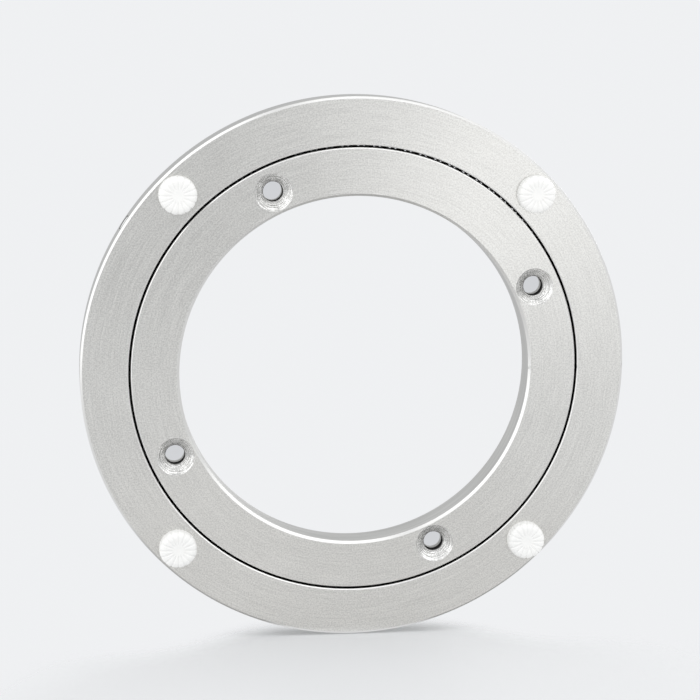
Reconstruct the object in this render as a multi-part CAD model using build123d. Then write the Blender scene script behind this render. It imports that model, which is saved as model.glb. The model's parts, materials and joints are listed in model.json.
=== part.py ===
from build123d import *
import math
import os

# Lazy susan turntable bearing: two flat aluminium rings with one row of steel balls between them.
# The outer ring stands on four soft feet. The inner ring turns inside it and carries a tray.
# Millimetres, +Z up along the turning axis, the feet on z = 0.

# Rings
bore_diameter = 90.0
inner_ring_width = 12.3
ring_gap = 0.5
outer_ring_width = 12.2
outer_ring_height = 8.0
tray_clearance = 0.5  # the inner ring stands this much above the outer one
bore_chamfer = 0.65
gap_chamfer = 0.3
rim_chamfer = 0.55

# Ball race
ball_diameter = 3.97
race_clearance = 0.1
ball_spacing = 0.04
ball_angle = 2.75  # where the first ball stands at rest
ball_sets = 18

# Hole through which the balls are put in, and the pin that closes it
fill_clearance = 0.06
plug_clearance = 0.03
plug_recess = 0.1
plug_chamfer = 0.25
plug_angle = -147.0

# Screw holes of the inner ring
screw_count = 4
screw_angle = -25.0
screw_hole_diameter = 5.0
countersink_diameter = 9.7
countersink_angle = 90.0
race_setback = 0.4  # screws and feet sit this much further from the race than mid-ring

# Feet under the outer ring
foot_count = 4
foot_angle = -135.0
foot_diameter = 9.6
foot_height = 3.0
foot_edge_radius = 1.5
flute_count = 16
flute_width = 0.5
flute_depth = 0.2
foot_disc_diameter = 2.8  # plain middle of the tread, where the flutes end
stem_diameter = 4.0
stem_length = 5.0
stem_chamfer = 0.4
stem_clearance = 0.05
stem_end_clearance = 0.3

# Radii, from the bore outwards
bore_radius = bore_diameter / 2
inner_ring_radius = bore_radius + inner_ring_width
ball_circle_radius = inner_ring_radius + ring_gap / 2
outer_ring_bore_radius = inner_ring_radius + ring_gap
outer_radius = outer_ring_bore_radius + outer_ring_width
screw_circle_radius = bore_radius + inner_ring_width / 2 - race_setback
foot_circle_radius = outer_ring_bore_radius + outer_ring_width / 2 + race_setback
ball_radius = ball_diameter / 2
race_radius = ball_radius + race_clearance
fill_radius = ball_radius + fill_clearance

# Heights, from the floor upwards
underside = foot_height
race_height = underside + outer_ring_height / 2
outer_top = underside + outer_ring_height
inner_top = outer_top + tray_clearance

UPWARDS = (Align.CENTER, Align.CENTER, Align.MIN)
ALONG_X = Rot(0, 90, 0)


def around(count, first_angle, radius, height):
    """Equally spaced places round the axis, each with its X axis pointing outwards."""
    step = 360 / count
    return [Rot(0, 0, first_angle + number * step) * Pos(radius, 0, height) for number in range(count)]


ball_count = math.floor(2 * math.pi * ball_circle_radius / (ball_diameter + ball_spacing))
ball_places = around(ball_count, ball_angle, ball_circle_radius, race_height)
screw_places = around(screw_count, screw_angle, screw_circle_radius, underside)
foot_places = around(foot_count, foot_angle, foot_circle_radius, 0)
fill_place = Rot(0, 0, plug_angle) * Pos(ball_circle_radius, 0, race_height) * ALONG_X


def turned_ring(inner, outer, top, inner_chamfer, outer_chamfer):
    """Turned ring with chamfered corners and its half of the ball race."""
    corners = [
        (inner + inner_chamfer, underside),
        (outer - outer_chamfer, underside),
        (outer, underside + outer_chamfer),
        (outer, top - outer_chamfer),
        (outer - outer_chamfer, top),
        (inner + inner_chamfer, top),
        (inner, top - inner_chamfer),
        (inner, underside + inner_chamfer),
    ]
    section = make_face(Plane.XZ * Polyline(*corners, close=True))
    race = Plane.XZ * Pos(ball_circle_radius, race_height) * Circle(race_radius)
    return revolve(section - race, Axis.Z)


def outer_blank():
    """The outer ring before its holes are drilled."""
    return turned_ring(outer_ring_bore_radius, outer_radius, outer_top, gap_chamfer, rim_chamfer)


def outer_ring():
    """Standing ring, with a blind hole for each foot and the fill hole from the rim to the race."""
    ring = outer_blank()
    socket_depth = stem_length + stem_end_clearance
    socket = Pos(0, 0, underside) * Cylinder(stem_diameter / 2 + stem_clearance, socket_depth, align=UPWARDS)
    for place in foot_places:
        ring -= place * socket
    return ring - fill_place * Cylinder(fill_radius, outer_radius, align=UPWARDS)


def inner_ring():
    """Turning ring, with screw holes countersunk from both sides."""
    ring = turned_ring(bore_radius, inner_ring_radius, inner_top, bore_chamfer, gap_chamfer)
    hole_radius = screw_hole_diameter / 2
    sink_radius = countersink_diameter / 2
    sink_depth = (sink_radius - hole_radius) / math.tan(math.radians(countersink_angle / 2))
    height = inner_top - underside
    hole = Cylinder(hole_radius, height, align=UPWARDS)
    hole += Cone(sink_radius, hole_radius, sink_depth, align=UPWARDS)
    hole += Pos(0, 0, height - sink_depth) * Cone(hole_radius, sink_radius, sink_depth, align=UPWARDS)
    for place in screw_places:
        ring -= place * hole
    return ring


def fill_plug():
    """Pin in the fill hole: its inner end carries on the race, its outer end lies just under the rim."""
    length = outer_radius - plug_recess - ball_circle_radius
    pin = Cylinder(fill_radius - plug_clearance, length, align=UPWARDS)
    pin = chamfer(pin.edges().group_by(Axis.Z)[-1], plug_chamfer)
    return fill_place * pin & outer_blank()


def flute_cutter():
    """Round bar that follows the tread, bends round the edge and runs up the side of a foot."""
    bar_radius = ((flute_width / 2) ** 2 / flute_depth + flute_depth) / 2
    lift = bar_radius - flute_depth
    side = foot_diameter / 2
    tread_end = side - foot_edge_radius
    path = Line((foot_disc_diameter / 2, -lift), (tread_end, -lift))
    path += CenterArc((tread_end, foot_edge_radius), foot_edge_radius + lift, -90, 90)
    path += Line((side + lift, foot_edge_radius), (side + lift, foot_height))
    path = Plane.XZ * path
    return sweep(Plane(origin=path @ 0, z_dir=path % 0) * Circle(bar_radius), path=path)


def foot():
    """Soft button with a fluted tread and a stem that goes up into the outer ring."""
    cap = Cylinder(foot_diameter / 2, foot_height, align=UPWARDS)
    cap = fillet(cap.edges().group_by(Axis.Z)[0], foot_edge_radius)
    cap -= [Rot(0, 0, number * 360 / flute_count) * flute_cutter() for number in range(flute_count)]
    stem = Cylinder(stem_diameter / 2, stem_length, align=UPWARDS)
    stem = chamfer(stem.edges().group_by(Axis.Z)[-1], stem_chamfer)
    return cap + Pos(0, 0, foot_height) * stem


def ball_set(number):
    """One stretch of the row, as separate balls."""
    first = number * ball_count // ball_sets
    end = (number + 1) * ball_count // ball_sets
    return Compound([Solid.make_sphere(ball_radius).moved(place) for place in ball_places[first:end]])


button = foot()
nodes = {"outer_ring": outer_ring(), "inner_ring": inner_ring(), "fill_plug": fill_plug()}
for number, place in enumerate(foot_places, start=1):
    nodes[f"foot_{number}"] = place * button
for number in range(ball_sets):
    nodes[f"balls_{number + 1:02d}"] = ball_set(number)

os.makedirs("parts", exist_ok=True)
for name, shape in nodes.items():
    export_step(shape, f"parts/{name}.step")
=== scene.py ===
import json
import math
import bmesh
import bpy
from mathutils import Matrix, Vector


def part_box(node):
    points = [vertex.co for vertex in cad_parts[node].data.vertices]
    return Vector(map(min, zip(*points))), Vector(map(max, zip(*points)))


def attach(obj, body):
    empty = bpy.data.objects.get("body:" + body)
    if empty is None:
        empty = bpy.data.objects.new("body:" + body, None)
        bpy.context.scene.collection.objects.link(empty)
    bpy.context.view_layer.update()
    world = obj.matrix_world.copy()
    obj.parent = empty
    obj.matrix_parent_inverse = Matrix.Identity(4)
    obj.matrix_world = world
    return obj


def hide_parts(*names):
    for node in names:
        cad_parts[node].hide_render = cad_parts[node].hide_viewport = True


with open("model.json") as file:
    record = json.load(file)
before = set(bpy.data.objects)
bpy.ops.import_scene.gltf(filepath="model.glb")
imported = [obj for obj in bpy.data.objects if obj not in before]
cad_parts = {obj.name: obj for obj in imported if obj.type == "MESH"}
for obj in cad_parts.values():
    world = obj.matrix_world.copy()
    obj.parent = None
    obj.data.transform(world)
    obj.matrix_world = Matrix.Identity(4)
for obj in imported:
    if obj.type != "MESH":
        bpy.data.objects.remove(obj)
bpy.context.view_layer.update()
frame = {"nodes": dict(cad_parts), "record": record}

# Outer ring
# The standing ring of the bearing, turned from aluminium bar and left with a satin face of fine turning
# marks. Its corners are cut bright, half of the ball race runs round its bore, and its four blind holes
# below hold the feet. The balls go in through a cross hole in the rim.
MM = 0.001
outer_low, outer_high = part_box("outer_ring")
inner_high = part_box("inner_ring")[1]
ball_low, ball_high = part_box("balls_05")
underside = outer_low.z
outer_radius = outer_high.x
inner_ring_radius = inner_high.x
ring_gap = 0.5 * MM
gap_chamfer = 0.3 * MM
rim_chamfer = 0.55 * MM
edge_break = 0.04 * MM
least_corner = math.radians(30)
smooth_below = math.radians(32)
ball_circle = inner_ring_radius + ring_gap / 2
race_height = (ball_low.z + ball_high.z) / 2
race_clearance = 0.1 * MM
race_radius = (ball_high.z - ball_low.z) / 2 + race_clearance
race_steps = 14
ring_steps = 360
same_place = 1e-7  # points nearer than this are one point
foot_centres = [sum(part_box(f"foot_{number}"), Vector()) / 2 for number in range(1, 5)]
socket_radius = 2.05 * MM
socket_depth = 5.3 * MM
socket_steps = 48
plug_low, plug_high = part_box("fill_plug")
plug_angle = math.atan2(plug_low.y + plug_high.y, plug_low.x + plug_high.x)
fill_radius = 2.045 * MM
fill_steps = 64
overshoot = 1 * MM


def race_arc(wall):
    """The ball groove behind a wall, as points from its lower edge to its upper edge."""
    side = math.copysign(1, wall - ball_circle)
    reach = math.acos(abs(wall - ball_circle) / race_radius)
    turns = [reach * (2 * step / race_steps - 1) for step in range(race_steps + 1)]
    return [
        (ball_circle + side * race_radius * math.cos(turn), race_height + race_radius * math.sin(turn))
        for turn in turns
    ]


def spun(outline, steps):
    """A closed outline of (radius, height) points, turned into a round solid about the Z axis."""
    shape = bmesh.new()
    corners = [shape.verts.new((radius, 0, height)) for radius, height in outline]
    sides = [shape.edges.new(pair) for pair in zip(corners, corners[1:] + corners[:1])]
    bmesh.ops.spin(shape, geom=corners + sides, axis=(0, 0, 1), angle=math.tau, steps=steps, use_merge=True)
    bmesh.ops.remove_doubles(shape, verts=shape.verts, dist=same_place)
    bmesh.ops.dissolve_degenerate(shape, edges=shape.edges, dist=same_place)
    bmesh.ops.recalc_face_normals(shape, faces=shape.faces)
    return shape


def break_edges(shape):
    """Rounds the sharp circles that a tool has left, as a touch with a file does."""
    def is_circle(edge):
        start, end = (vert.co for vert in edge.verts)
        level = abs(start.z - end.z) < same_place
        return level and abs(start.xy.length - end.xy.length) < same_place

    sharp = [edge for edge in shape.edges if is_circle(edge) and edge.calc_face_angle(0) > least_corner]
    bmesh.ops.bevel(
        shape,
        geom=sharp,
        offset=edge_break,
        offset_type="OFFSET",
        affect="EDGES",
        segments=2,
        profile=0.5,
        material=-1,
    )


def piece(name, shape, *finishes):
    """A new object at the origin from a finished shape, with its finishes in order."""
    mesh = bpy.data.meshes.new(name)
    shape.to_mesh(mesh)
    shape.free()
    for finish in finishes:
        mesh.materials.append(finish.material)
    made = bpy.data.objects.new(name, mesh)
    bpy.context.scene.collection.objects.link(made)
    return made


def cut(blank, tool):
    """Takes the tool's shape out of the blank, with the tool's own finish on the cut faces."""
    drill = blank.modifiers.new("drill", "BOOLEAN")
    drill.object = tool
    drill.solver = "EXACT"
    drill.material_mode = "TRANSFER"
    bpy.context.view_layer.update()
    drilled = bpy.data.meshes.new_from_object(blank.evaluated_get(bpy.context.evaluated_depsgraph_get()))
    blank.modifiers.remove(drill)
    blank.data = drilled
    bpy.data.objects.remove(tool)


def shade(made, sharp_angle):
    """Smooth but for its sharp corners, with the large flat faces kept flat."""
    made.data.shade_smooth()
    made.data.set_sharp_from_angle(angle=sharp_angle)
    weighted = made.modifiers.new("weighted", "WEIGHTED_NORMAL")
    weighted.keep_sharp = True


class Term:
    """A value on the sockets of a node tree, so that sums of values are written as plain expressions."""

    def __init__(self, nodes, socket):
        self.nodes = nodes
        self.socket = socket

    def maths(self, operation, *others):
        sockets = dict(enumerate((self,) + others))
        return self.nodes.node("ShaderNodeMath", {"operation": operation}, sockets)

    def __add__(self, other):
        return self.maths("ADD", other)

    def __sub__(self, other):
        return self.maths("SUBTRACT", other)

    def __mul__(self, other):
        return self.maths("MULTIPLY", other)

    def __truediv__(self, other):
        return self.maths("DIVIDE", other)

    def __pow__(self, other):
        return self.maths("POWER", other)

    def __rsub__(self, other):
        return self.nodes.node("ShaderNodeMath", {"operation": "SUBTRACT"}, {0: other, 1: self})

    __radd__ = __add__
    __rmul__ = __mul__


class Nodes:
    """A node tree with its shader, whose other nodes all come from one method."""

    def __init__(self, owner, shader):
        owner.use_nodes = True
        self.tree = owner.node_tree
        self.shader = self.tree.nodes[shader]

    def node(self, kind, settings=None, sockets=None, output=0):
        made = self.tree.nodes.new(kind)
        for name, value in (settings or {}).items():
            setattr(made, name, value)
        for name, value in (sockets or {}).items():
            self.feed(made.inputs[name], value)
        return Term(self, made.outputs[output])

    def feed(self, socket, value):
        if isinstance(value, Term):
            self.tree.links.new(value.socket, socket)
        else:
            socket.default_value = value

    def set(self, **values):
        for name, value in values.items():
            self.feed(self.shader.inputs[name.replace("_", " ").title().replace("Ior", "IOR")], value)

    def blend(self, factor, first, second):
        """From the first colour to the second, each given as three numbers or as another blend."""
        first, second = (colour if isinstance(colour, Term) else (*colour, 1) for colour in (first, second))
        return self.node("ShaderNodeMix", {"data_type": "RGBA"}, {0: factor, 6: first, 7: second}, output=2)


class Finish(Nodes):
    """A material under one name, with its patterns in the piece's own coordinates."""

    def __init__(self, name, **constants):
        self.material = bpy.data.materials.new(name)
        super().__init__(self.material, "Principled BSDF")
        self.set(**constants)

    def place(self, **mapping):
        """The piece's own coordinates, moved or turned where a pattern has another centre."""
        coordinates = self.node("ShaderNodeTexCoord", output="Object")
        if mapping:
            sockets = {"Vector": coordinates}
            sockets.update({name.title(): value for name, value in mapping.items()})
            coordinates = self.node("ShaderNodeMapping", {"vector_type": "TEXTURE"}, sockets)
        split = self.node("ShaderNodeSeparateXYZ", sockets={"Vector": coordinates}).socket.node
        return coordinates, *(Term(self, split.outputs[axis]) for axis in "XYZ")

    def round_place(self):
        """As place, with the distance from the turning axis and the two parts of the direction from it."""
        here, x, y, z = self.place()
        radius = (x * x + y * y) ** 0.5
        return here, z, radius, x / radius, y / radius

    def vector(self, x, y, z):
        return self.node("ShaderNodeCombineXYZ", sockets={"X": x, "Y": y, "Z": z})

    def noise(self, vector, scale, detail=2.0, roughness=0.5):
        sockets = {"Vector": vector, "Scale": scale, "Detail": detail, "Roughness": roughness}
        return self.node("ShaderNodeTexNoise", sockets=sockets, output="Fac")

    def ramp(self, value, start, end, at_start=0.0, at_end=1.0):
        """A soft step of a value between two places."""
        sockets = {"Value": value, "From Min": start, "From Max": end, "To Min": at_start, "To Max": at_end}
        return self.node("ShaderNodeMapRange", {"interpolation_type": "SMOOTHSTEP"}, sockets)

    def bump(self, height, depth):
        sockets = {"Height": height, "Distance": depth, "Strength": 1.0}
        self.set(normal=self.node("ShaderNodeBump", sockets=sockets))


def turned_face(name):
    """Satin aluminium with fine rings of turning marks and a fine etched grain."""
    satin = Finish(name, metallic=1.0, anisotropic=0.57, anisotropic_rotation=0.25)
    here, z, radius, heading_x, heading_y = satin.round_place()
    around = satin.vector(radius * 4200, heading_x * 5, heading_y * 5)
    marks = satin.noise(around, scale=1.0, detail=3.0, roughness=0.65) - 0.5
    grain = satin.noise(here, scale=2700, detail=2.0) - 0.5
    clouds = satin.noise(here, scale=45, detail=2.0) - 0.5
    tone = 0.5 + marks * 1.5 + grain * 2.5 + clouds * 0.3
    satin.set(base_color=satin.blend(tone, (0.612, 0.607, 0.586), (0.824, 0.818, 0.790)))
    satin.set(roughness=0.373 + marks * 0.08 + grain * 0.05)
    satin.bump(marks * 0.5 + grain * 0.5, depth=0.012 * MM)
    return satin


def bright_cut(name):
    """The corner cut last with a sharp tool, with a painted highlight beside the gap and painted shade where
    it meets the gap.
    """
    beside_gap = 0.6 * MM
    off_the_gap = 1.0 * MM
    gap_shade_reach = 0.05 * MM
    bright = Finish(name, metallic=1.0)
    here, z, radius, heading_x, heading_y = bright.round_place()
    around = bright.vector(radius * 9000, heading_x * 6, heading_y * 6)
    marks = bright.noise(around, scale=1.0, detail=2.0)
    metal = bright.blend(marks, (0.715, 0.711, 0.695), (0.80, 0.796, 0.78))
    off_gap = (radius - ball_circle).maths("ABSOLUTE")
    # painted highlight: the metal is lighter beside the gap
    gap_highlight = bright.ramp(off_gap, beside_gap, off_the_gap, 1.0, 0.0)
    metal = bright.blend(gap_highlight, metal, (0.86, 0.856, 0.84))
    # painted shade: darker where the cut meets the gap
    gap_edge_shade = bright.ramp(off_gap, ring_gap / 2, ring_gap / 2 + gap_shade_reach, 1.0, 0.0)
    bright.set(base_color=bright.blend(gap_edge_shade * 0.7, metal, (0.06, 0.06, 0.06)))
    bright.set(roughness=0.26 + marks * 0.08)
    return bright


def turned_wall(name):
    """The side of a ring, with the broad passes of the tool and its fine feed marks running round it."""
    satin = Finish(name, metallic=1.0, specular_tint=(0.7, 0.7, 0.7, 1))
    here, z, radius, heading_x, heading_y = satin.round_place()
    around = satin.vector(z * 7000, heading_x * 3, heading_y * 3)
    marks = satin.noise(around, scale=1.0, detail=3.0, roughness=0.6)
    grain = satin.noise(here, scale=2600)
    passes = satin.noise(satin.vector(z * 1000, heading_x * 2, heading_y * 2), scale=1.0, detail=1.0) - 0.5
    tone = marks * 0.6 + grain * 0.4 + passes * 1.6
    satin.set(base_color=satin.blend(tone, (0.545, 0.542, 0.525), (0.71, 0.706, 0.685)))
    satin.set(roughness=0.3 + marks * 0.1 + passes * 0.1)
    satin.bump(marks, depth=0.003 * MM)
    return satin


def shaded_groove(name):
    """The race and the walls of the gap, painted dark as the shade inside the gap."""
    groove_shade = Finish(name, metallic=1.0)
    here, z, radius, heading_x, heading_y = groove_shade.round_place()
    groove_mottle = groove_shade.noise(groove_shade.vector(z * 600, heading_x * 40, heading_y * 40), scale=1.0, detail=3.0)
    # painted shade: the race and the gap walls are dark as the inside of the gap
    groove_shade.set(base_color=groove_shade.blend(groove_mottle, (0.02, 0.02, 0.02), (0.06, 0.06, 0.058)))
    groove_shade.set(roughness=0.35 + groove_mottle * 0.2)
    return groove_shade


FLAT, CORNER, SIDE, GROOVE = range(4)
flat_rise = 0.999  # the normal of a flat face rises at least this much
side_rise = 0.05  # and that of a side at most this much


def zone(face):
    """Which of a ring's finishes a face has, by its place and the way that it faces."""
    middle = face.calc_center_median()
    radius = middle.xy.length
    from_race = math.hypot(radius - ball_circle, middle.z - race_height)
    if from_race < race_radius + edge_break:
        return GROOVE
    if abs(face.normal.z) > flat_rise:
        return FLAT
    if abs(face.normal.z) > side_rise:
        return CORNER
    return GROOVE if abs(radius - ball_circle) < ring_gap else SIDE


def turned_ring(name, outline, *finishes):
    """A ring from its outline, with its corners broken and a finish on each zone."""
    shape = spun(outline, ring_steps)
    break_edges(shape)
    for face in shape.faces:
        face.material_index = zone(face)
    return piece(name, shape, *finishes)


def add_pin(shape, radius, length, steps, place):
    """Adds a plain pin to a shape, with its middle and its axis at a place."""
    bmesh.ops.create_cone(
        shape, cap_ends=True, segments=steps, radius1=radius, radius2=radius, depth=length, matrix=place
    )


outer_bore = inner_ring_radius + ring_gap
outer_top = outer_high.z
outer_outline = [
    (outer_bore + gap_chamfer, underside),
    (outer_radius - rim_chamfer, underside),
    (outer_radius, underside + rim_chamfer),
    (outer_radius, outer_top - rim_chamfer),
    (outer_radius - rim_chamfer, outer_top),
    (outer_bore + gap_chamfer, outer_top),
    (outer_bore, outer_top - gap_chamfer),
    *reversed(race_arc(outer_bore)),
    (outer_bore, underside + gap_chamfer),
]
satin_face = turned_face("satin_face")
bright_corner = bright_cut("bright_corner")
satin_side = turned_wall("satin_side")
shaded_race = shaded_groove("shaded_race")
ring_finishes = (satin_face, bright_corner, satin_side, shaded_race)
outer_ring = turned_ring("outer_ring_turned", outer_outline, *ring_finishes)

drills = bmesh.new()
for centre in foot_centres:
    socket_middle = (centre.x, centre.y, underside + (socket_depth - overshoot) / 2)
    add_pin(drills, socket_radius, socket_depth + overshoot, socket_steps, Matrix.Translation(socket_middle))
fill_end = outer_radius + overshoot
fill_middle = Matrix.Translation(((ball_circle + fill_end) / 2, 0, race_height))
fill_place = Matrix.Rotation(plug_angle, 4, "Z") @ fill_middle @ Matrix.Rotation(math.pi / 2, 4, "Y")
add_pin(drills, fill_radius, fill_end - ball_circle, fill_steps, fill_place)
cut(outer_ring, piece("outer_drills", drills, shaded_race))
shade(outer_ring, smooth_below)
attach(outer_ring, "base")
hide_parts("outer_ring")

# Feet
# Four white soft plastic buttons under the outer ring. Each is moulded in one with a stem that is pushed up
# into the ring. Its tread is a little hollow, with fine flutes from a plain middle over the rounded edge.
foot_radius = 4.8 * MM
foot_height = underside
foot_edge = 1.5 * MM
foot_edge_steps = 10
foot_side_steps = 4
foot_smooth_below = math.radians(50)
tread_disc = 1.4 * MM
tread_disc_steps = 4
tread_steps = 5
tread_dish = 0.25 * MM
flute_count = 16
flute_pitch = math.tau / flute_count
flute_steps = 16
flute_half_width = 0.36 * MM
flute_depth = 0.2 * MM
flute_run_in = 0.5 * MM
stem_radius = 2.0 * MM
stem_chamfer = 0.4 * MM
stem_top = foot_height + 5.0 * MM


def smooth_step(value):
    """From 0 to 1 with soft ends."""
    value = min(max(value, 0.0), 1.0)
    return value * value * (3 - 2 * value)


def foot_outline():
    """Half section of a foot with its stem, from the middle of the tread round to the top of the stem."""
    tread_end = foot_radius - foot_edge
    tread_step = (tread_end - tread_disc) / tread_steps
    side_step = (foot_height - foot_edge) / foot_side_steps
    spots = [tread_disc * step / tread_disc_steps for step in range(tread_disc_steps)]
    spots += [tread_disc + tread_step * step for step in range(tread_steps)]
    tread = [(spot, tread_dish * (1 - (spot / tread_end) ** 2) ** 2) for spot in spots]
    edge = []
    for step in range(foot_edge_steps + 1):
        turn = math.pi / 2 * step / foot_edge_steps
        edge.append((tread_end + foot_edge * math.sin(turn), foot_edge * (1 - math.cos(turn))))
    side = [(foot_radius, foot_edge + side_step * step) for step in range(1, foot_side_steps + 1)]
    stem = [
        (stem_radius, foot_height),
        (stem_radius, stem_top - stem_chamfer),
        (stem_radius - stem_chamfer, stem_top),
        (0.0, stem_top),
    ]
    return tread + edge + side + stem


def fluted_foot():
    """A foot about the Z axis, with its flutes pressed in and noted on the points that they reach."""
    shape = spun(foot_outline(), flute_count * flute_steps)
    groove = shape.verts.layers.float.new("groove")
    shape.normal_update()
    pushes = []
    for vert in shape.verts:
        radius = vert.co.xy.length
        if radius < tread_disc or vert.co.z > foot_height - same_place:
            continue
        off_line = math.atan2(vert.co.y, vert.co.x) / flute_pitch
        across = abs(off_line - round(off_line)) * flute_pitch * radius
        start = smooth_step((radius - tread_disc) / flute_run_in)
        depth = start * smooth_step(1 - across / flute_half_width)
        vert[groove] = depth
        pushes.append((vert, vert.normal * flute_depth * depth))
    for vert, push in pushes:
        vert.co -= push
    return shape


def white_plastic(name):
    """Soft white plastic, a little darker in the flutes as painted shade."""
    white = Finish(name, roughness=0.45)
    here, x, y, z = white.place()
    mottle = white.noise(here, scale=900, detail=3.0)
    groove_depth = white.node("ShaderNodeAttribute", {"attribute_name": "groove"}, output="Fac")
    clean = white.blend(mottle, (0.925, 0.926, 0.912), (0.96, 0.961, 0.947))
    # painted shade in the flutes
    white.set(base_color=white.blend(groove_depth * 0.08, clean, (0.74, 0.742, 0.732)))
    white.bump(mottle, depth=0.006 * MM)
    return white


foot_white = white_plastic("foot_white")
for number, centre in enumerate(foot_centres, start=1):
    shape = fluted_foot()
    outward = math.atan2(centre.y, centre.x)
    put = Matrix.Translation((centre.x, centre.y, 0)) @ Matrix.Rotation(outward, 4, "Z")
    bmesh.ops.transform(shape, matrix=put, verts=shape.verts)
    foot = piece(f"foot_{number}_fluted", shape, foot_white)
    shade(foot, foot_smooth_below)
    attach(foot, "base")
    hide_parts(f"foot_{number}")

# Inner ring
# The ring that turns and carries the tray, from the same bar as the outer one. Four screw holes are
# countersunk from both sides, and the countersinks are bright, with the rings that the cutter has left.
mounts = {mount["name"]: mount["dims"] for mount in frame["record"]["mounts"]}
bore_radius = mounts["centre_bore"]["r_mm"] * MM
screw_circle = mounts["screw_holes"]["pcd_mm"] / 2 * MM
screw_hole_radius = mounts["screw_holes"]["hole_r_mm"] * MM
bore_chamfer = 0.65 * MM
inner_top = inner_high.z
screw_count = 4
screw_angle = math.radians(-25)
screw_pitch = math.tau / screw_count
sink_radius = 4.85 * MM
sink_depth = sink_radius - screw_hole_radius
sink_steps = 96
shade_depth = 2.1 * MM


def countersunk_bright(name):
    """The cone of a countersink, bright, with rings round its own hole and fine chatter across them."""
    mouth_shade_width = 0.2 * MM
    bright = Finish(name, metallic=0.8)
    here, x, y, z = bright.place()
    radius = (x * x + y * y) ** 0.5
    turn = y.maths("ARCTAN2", x) - (screw_angle - screw_pitch / 2)
    turn = turn.maths("FLOORED_MODULO", screw_pitch) - screw_pitch / 2
    across = radius * turn.maths("SINE")
    along = radius * turn.maths("COSINE") - screw_circle
    off_axis = (across * across + along * along) ** 0.5
    heading = bright.vector(along / off_axis * 9, across / off_axis * 9, off_axis * 600)
    chatter = bright.noise(heading, scale=1.0, detail=3.0, roughness=0.7) - 0.5
    around = bright.vector(off_axis * 5000, along / off_axis, across / off_axis)
    rings = bright.noise(around, scale=1.0, detail=2.0) - 0.5
    metal = bright.blend(0.5 + rings * 4 + chatter * 4, (0.64, 0.637, 0.62), (0.92, 0.916, 0.90))
    # painted shade: the cone darkens where it meets its hole
    hole_mouth_shade = bright.ramp(off_axis, screw_hole_radius, screw_hole_radius + mouth_shade_width, 1.0, 0.0)
    bright.set(base_color=bright.blend(hole_mouth_shade * 0.9, metal, (0.04, 0.04, 0.04)))
    bright.set(roughness=0.2 + chatter * 0.15)
    bright.bump(rings * 2.5 + chatter * 0.5, depth=0.05 * MM)
    return bright


def bored_dark(name):
    """The straight wall of a screw hole, painted dark as shade but for a stretch at its far end in its own
    colour.
    """
    shade_end = underside + sink_depth + shade_depth
    shade_fade = 0.15 * MM
    shaded_wall = Finish(name, specular_ior_level=0.0)
    here, x, y, z = shaded_wall.place()
    scores = shaded_wall.noise(shaded_wall.vector(z * 6000, x * 300, y * 300), scale=1.0, detail=3.0)
    # painted shade on the wall, but for its far end
    wall_shade = shaded_wall.blend(scores, (0.015, 0.015, 0.015), (0.05, 0.05, 0.049))
    unshaded = shaded_wall.ramp(z, shade_end - shade_fade, shade_end + shade_fade)
    shaded_wall.set(base_color=shaded_wall.blend(unshaded, wall_shade, (0.62, 0.62, 0.61)))
    shaded_wall.set(roughness=0.5 + scores * 0.2)
    return shaded_wall


def screw_place(number):
    """Where a screw hole's axis meets the plane of the feet."""
    turn = Matrix.Rotation(screw_angle + number * screw_pitch, 4, "Z")
    return turn @ Matrix.Translation((screw_circle, 0, 0))


inner_outline = [
    (bore_radius + bore_chamfer, underside),
    (inner_ring_radius - gap_chamfer, underside),
    (inner_ring_radius, underside + gap_chamfer),
    *race_arc(inner_ring_radius),
    (inner_ring_radius, inner_top - gap_chamfer),
    (inner_ring_radius - gap_chamfer, inner_top),
    (bore_radius + bore_chamfer, inner_top),
    (bore_radius, inner_top - bore_chamfer),
    (bore_radius, underside + bore_chamfer),
]
inner_ring = turned_ring("inner_ring_turned", inner_outline, *ring_finishes)
sink_bright = countersunk_bright("sink_bright")
hole_dark = bored_dark("hole_dark")
sink_outline = [
    (0.0, underside - overshoot),
    (sink_radius + overshoot, underside - overshoot),
    (screw_hole_radius, underside + sink_depth),
    (screw_hole_radius, inner_top - sink_depth),
    (sink_radius + overshoot, inner_top + overshoot),
    (0.0, inner_top + overshoot),
]
sinks = bmesh.new()
for number in range(screw_count):
    sink = spun(sink_outline, sink_steps)
    for face in sink.faces:
        face.material_index = 1 if abs(face.normal.z) < side_rise else 0
    bmesh.ops.transform(sink, matrix=screw_place(number), verts=sink.verts)
    whole = bpy.data.meshes.new("sink")
    sink.to_mesh(whole)
    sink.free()
    sinks.from_mesh(whole)
    bpy.data.meshes.remove(whole)
cut(inner_ring, piece("inner_drills", sinks, sink_bright, hole_dark))
shade(inner_ring, smooth_below)
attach(inner_ring, "turning_ring")
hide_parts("inner_ring")

# Balls
# Ninety hardened steel balls in one row between the rings, ground and polished. They show only through the
# gap.
# Their colour is painted dark as the shade in the gap, and on one stretch each ball has a painted glint on
# either side of its middle.
ball_pitch = math.radians(4)
first_ball = math.radians(2.75)
glint_stretch_middle = math.radians(-86)
glint_stretch_reach = math.radians(40)
glint_stretch_fade = math.radians(15)
glint_place = 0.75 * MM
glint_reach = 0.15 * MM
glint_fade = 0.3 * MM
ball_finish = Finish("shaded_steel_glints", metallic=1.0)
here, x, y, z = ball_finish.place()
ball_mottle = ball_finish.noise(here, scale=1400, detail=3.0)
heading = y.maths("ARCTAN2", x)
off_stretch = (heading - glint_stretch_middle).maths("ABSOLUTE")
# painted glints show only on this stretch of the row
on_glint_stretch = ball_finish.ramp(off_stretch, glint_stretch_reach, glint_stretch_reach + glint_stretch_fade, 1.0, 0.0)
turn = (heading - (first_ball - ball_pitch / 2)).maths("FLOORED_MODULO", ball_pitch)
off_middle = (turn - ball_pitch / 2).maths("ABSOLUTE") * ball_circle
off_glint = (off_middle - glint_place).maths("ABSOLUTE")
glint = ball_finish.ramp(off_glint, glint_reach, glint_fade, 1.0, 0.0)
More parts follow.
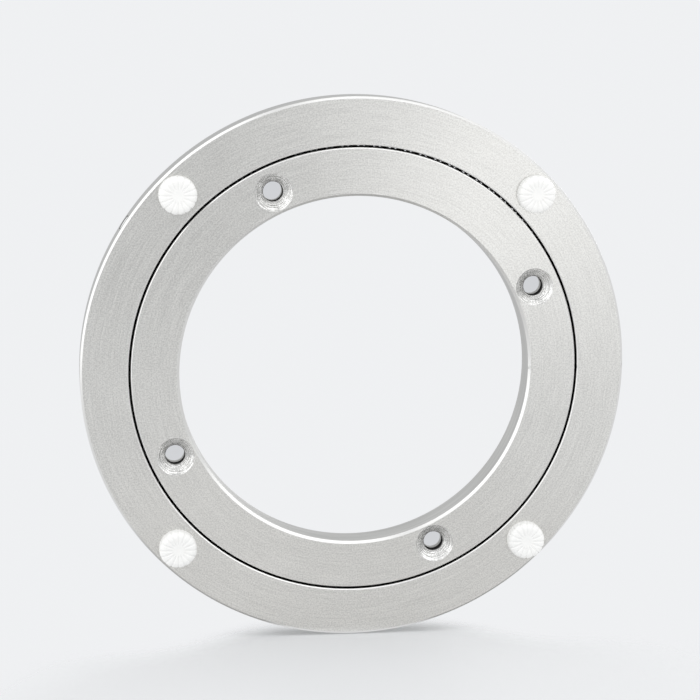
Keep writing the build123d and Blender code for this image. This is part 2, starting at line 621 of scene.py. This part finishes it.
# painted shade: the balls are dark but for their painted glints
shaded_steel = ball_finish.blend(ball_mottle, (0.008, 0.008, 0.008), (0.025, 0.025, 0.026))
ball_finish.set(base_color=ball_finish.blend(glint * on_glint_stretch, shaded_steel, (0.95, 0.95, 0.96)))
ball_finish.set(roughness=0.08 + ball_mottle * 0.06)
for name, node in frame["nodes"].items():
    if name.startswith("balls_"):
        node.data.materials.clear()
        node.data.materials.append(ball_finish.material)

# Fill plug
# The aluminium pin that closes the cross hole once the balls are in. Its end lies just under the rim and
# shows the rings of its own turning. The seam round it is painted dark as shade.
plug_end_radius = 1.765 * MM
seam_start = plug_end_radius - 0.1 * MM
seam_full = plug_end_radius + 0.05 * MM
plug_finish = Finish("plug_end", metallic=1.0)
here, x, y, z = plug_finish.place(location=(0, 0, race_height), rotation=(0, 0, plug_angle))
off_axis = (y * y + z * z) ** 0.5
rings = plug_finish.noise(plug_finish.vector(off_axis * 6000, y * 300, z * 300), scale=1.0, detail=2.0)
# painted shade in the seam round the plug's end
seam_shade = plug_finish.ramp(off_axis, seam_start, seam_full)
metal = plug_finish.blend(rings, (0.84, 0.836, 0.815), (0.92, 0.915, 0.89))
plug_finish.set(base_color=plug_finish.blend(seam_shade, metal, (0.03, 0.03, 0.03)))
plug_finish.set(roughness=0.3 + rings * 0.12)
plug_finish.bump(rings, depth=0.006 * MM)
plug = frame["nodes"]["fill_plug"]
plug.data.materials.clear()
plug.data.materials.append(plug_finish.material)

# Floor and table
# In the photo the bearing stands on its rim, so a pale floor touches the rim there and fades out round it. A
# second floor shows only as a reflection in the metal, and grey discs show only through the screw holes. A
# pale table under the feet serves the views from above. Each shows from its own side only.
stage_colour = (0.74, 0.75, 0.76)
mirrored_colour = (0.70, 0.70, 0.70)
shaded_colour = (0.30, 0.30, 0.296)
hole_colour = (0.62, 0.632, 0.653)
far_brightness = 1.03
plain = (stage_colour, tuple(channel * far_brightness for channel in stage_colour))
shaded = (mirrored_colour, shaded_colour)
stage_steps = 96
table_drop = 0.2 * MM
backdrop_radius = 1.4 * screw_hole_radius
backdrop_lift = 0.3 * MM
backdrop_steps = 32


def seen_by(stage, *rays):
    """Shows a piece of the stage to some kinds of rays only."""
    for kind in ("camera", "diffuse", "glossy", "transmission", "shadow"):
        setattr(stage, f"visible_{kind}", kind in rays)


def stage_plane(name, turn, full_radius, end_radius, colours, far_end=1.0, side_cut=0.0, nearest=(0.0, 0.0)):
    """A pale round patch of floor, seen from its front, that fades out between two radii.

    Its two colours are for the side of the feet and for the far side of the rings. It ends softly at far_end
    beyond the rings, and earlier by side_cut away from the middle. Rays shorter than nearest pass through it:
    the first length is for the patch beside the rings, and the second for the patch beyond them.
    """
    middle = turn.translation
    beside_start = 15 * MM
    beside_end = 55 * MM
    beyond_fade = 5 * MM
    full_at = 2.5  # a ray this many times the shortest one meets the patch in full
    shape = bmesh.new()
    bmesh.ops.create_circle(shape, cap_ends=True, segments=stage_steps, radius=end_radius, matrix=turn)
    pale = Finish(name, roughness=0.9, specular_ior_level=0.1)
    here, x, y, z = pale.place()
    away = pale.node(
        "ShaderNodeVectorMath", {"operation": "DISTANCE"}, {0: here, 1: middle}, output="Value"
    )
    solid = pale.node(
        "ShaderNodeMapRange",
        {"interpolation_type": "SMOOTHERSTEP"},
        {"Value": away, "From Min": full_radius, "From Max": end_radius, "To Min": 1.0, "To Max": 0.0},
    )
    behind = pale.node("ShaderNodeNewGeometry", output="Backfacing")
    speckle = pale.noise(here, scale=60, detail=2.0) - 0.5
    far_side = pale.ramp(z, 0.0, inner_top)
    pale.set(base_color=pale.blend(far_side + speckle * 0.1, *colours))
    beside = pale.ramp(x.maths("ABSOLUTE"), beside_start, beside_end) * side_cut
    near_side = pale.ramp(z + beside, underside, inner_top + far_end, 1.0, 0.0)
    reach = pale.node("ShaderNodeLightPath", output="Ray Length")
    beyond = pale.ramp(z, inner_top, inner_top + beyond_fade)
    least = beyond * (nearest[1] - nearest[0]) + nearest[0]
    long_enough = pale.ramp(reach, least, least * full_at + same_place)
    pale.set(alpha=solid * (1 - behind) * near_side * long_enough)
    return piece(name, shape, pale)


def floor_turn(drop, depth):
    """A place under the rim as the bearing stands in the photo, at a depth along the turning axis."""
    return Matrix.Translation((0, outer_radius + drop, depth)) @ Matrix.Rotation(math.pi / 2, 4, "X")


photo_floor = stage_plane(
    "photo_floor",
    floor_turn(drop=0.15 * MM, depth=-75 * MM),
    full_radius=75 * MM,
    end_radius=115 * MM,
    colours=plain,
    far_end=10 * MM,
    side_cut=20 * MM,
)
seen_by(photo_floor, "camera", "diffuse", "transmission", "shadow")
mirrored_floor = stage_plane(
    "mirrored_floor",
    floor_turn(drop=0.05 * MM, depth=-60 * MM),
    full_radius=92 * MM,
    end_radius=118 * MM,
    colours=shaded,
    nearest=(2 * MM, 40 * MM),
)
seen_by(mirrored_floor, "glossy")
table_place = Matrix.Translation((0, 0, -table_drop))
table = stage_plane("table", table_place, full_radius=110 * MM, end_radius=500 * MM, colours=plain)
seen_by(table, "camera")

grey = Finish("hole_backdrop", base_color=(0, 0, 0, 1), emission_strength=1.0)
grey.set(emission_color=(*hole_colour, 1))
grey.set(alpha=1 - grey.node("ShaderNodeNewGeometry", output="Backfacing"))
above_hole = Matrix.Translation((0, 0, inner_top + backdrop_lift)) @ Matrix.Rotation(math.pi, 4, "X")
discs = bmesh.new()
for number in range(screw_count):
    put = screw_place(number) @ above_hole
    bmesh.ops.create_circle(discs, cap_ends=True, segments=backdrop_steps, radius=backdrop_radius, matrix=put)
seen_by(piece("hole_backdrop", discs, grey), "camera")

# Light
# A pale studio, two long soft lights over the bearing as it stands in the photo, a small one near the camera
# that draws the fan of brightness on the turned faces, and a soft one over the table. A dark disc in front of
# the bearing draws the fan's darker side.
studio_colour = (0.865, 0.875, 0.89)
studio_light = (0.93, 0.93, 0.935)
card_steps = 48
world = bpy.data.worlds.new("pale_studio")
bpy.context.scene.world = world
studio = Nodes(world, "Background")
direct_rays = ("Camera", "Glossy", "Transmission")
seen = [studio.node("ShaderNodeLightPath", output=f"Is {ray} Ray") for ray in direct_rays]
studio.set(color=studio.blend(seen[0] + seen[1] + seen[2], studio_light, studio_colour))


def dark_card(name, place, width):
    """A dark disc that faces the bearing, seen only as the faint shade that it leaves in the metal."""
    facing = (-Vector(place)).to_track_quat("Z", "Y").to_matrix().to_4x4()
    put = Matrix.Translation(place) @ facing
    shape = bmesh.new()
    bmesh.ops.create_circle(shape, cap_ends=True, segments=card_steps, radius=width / 2, matrix=put)
    black = Finish(name, base_color=(0.02, 0.02, 0.02, 1), roughness=0.9, specular_ior_level=0.1)
    seen_by(piece(name, shape, black), "glossy", "transmission")


dark_card("camera_shape", place=(0.03, 0.055, -0.64), width=0.2)


def soft_light(name, place, width, height, power):
    """A rectangular soft light that faces the bearing."""
    light = bpy.data.lights.new(name, "AREA")
    light.shape = "RECTANGLE"
    light.size = width
    light.size_y = height
    light.energy = power
    made = bpy.data.objects.new(name, light)
    made.location = place
    made.rotation_euler = (-Vector(place)).to_track_quat("-Z", "Y").to_euler()
    made.visible_camera = False
    bpy.context.scene.collection.objects.link(made)


soft_light("left_overhead_light", place=(-0.540, -0.305, -0.14), width=1.12, height=0.32, power=0.98)
soft_light("right_overhead_light", place=(0.329, -0.526, -0.17), width=1.04, height=0.30, power=0.85)
soft_light("fan_light", place=(0.152, 0.012, -0.527), width=0.1, height=0.1, power=0.1)
soft_light("table_light", place=(0.5, -0.2, 0.55), width=0.35, height=0.35, power=1.0)

# Camera
# A long lens at the place that the photo was taken from, below the feet and a little to one side, with the
# picture's upright set by the small roll of the bearing as it stands.
camera = bpy.data.cameras.new("photo_camera")
camera.lens = 110.19
camera.sensor_width = 36
eye = Vector((-0.0785, -0.1109, -0.5269))
aim = Vector((-0.00163, -0.00563, underside))
sight = (aim - eye).normalized()
roll = math.radians(0.85)
right = sight.cross(Vector((-math.sin(roll), -math.cos(roll), 0))).normalized()
upright = right.cross(sight)
viewer = bpy.data.objects.new("photo_camera", camera)
viewer.matrix_world = Matrix.Translation(eye) @ Matrix((right, upright, -sight)).transposed().to_4x4()
bpy.context.scene.collection.objects.link(viewer)
bpy.context.scene.camera = viewer
bpy.context.scene.view_settings.view_transform = "Standard"
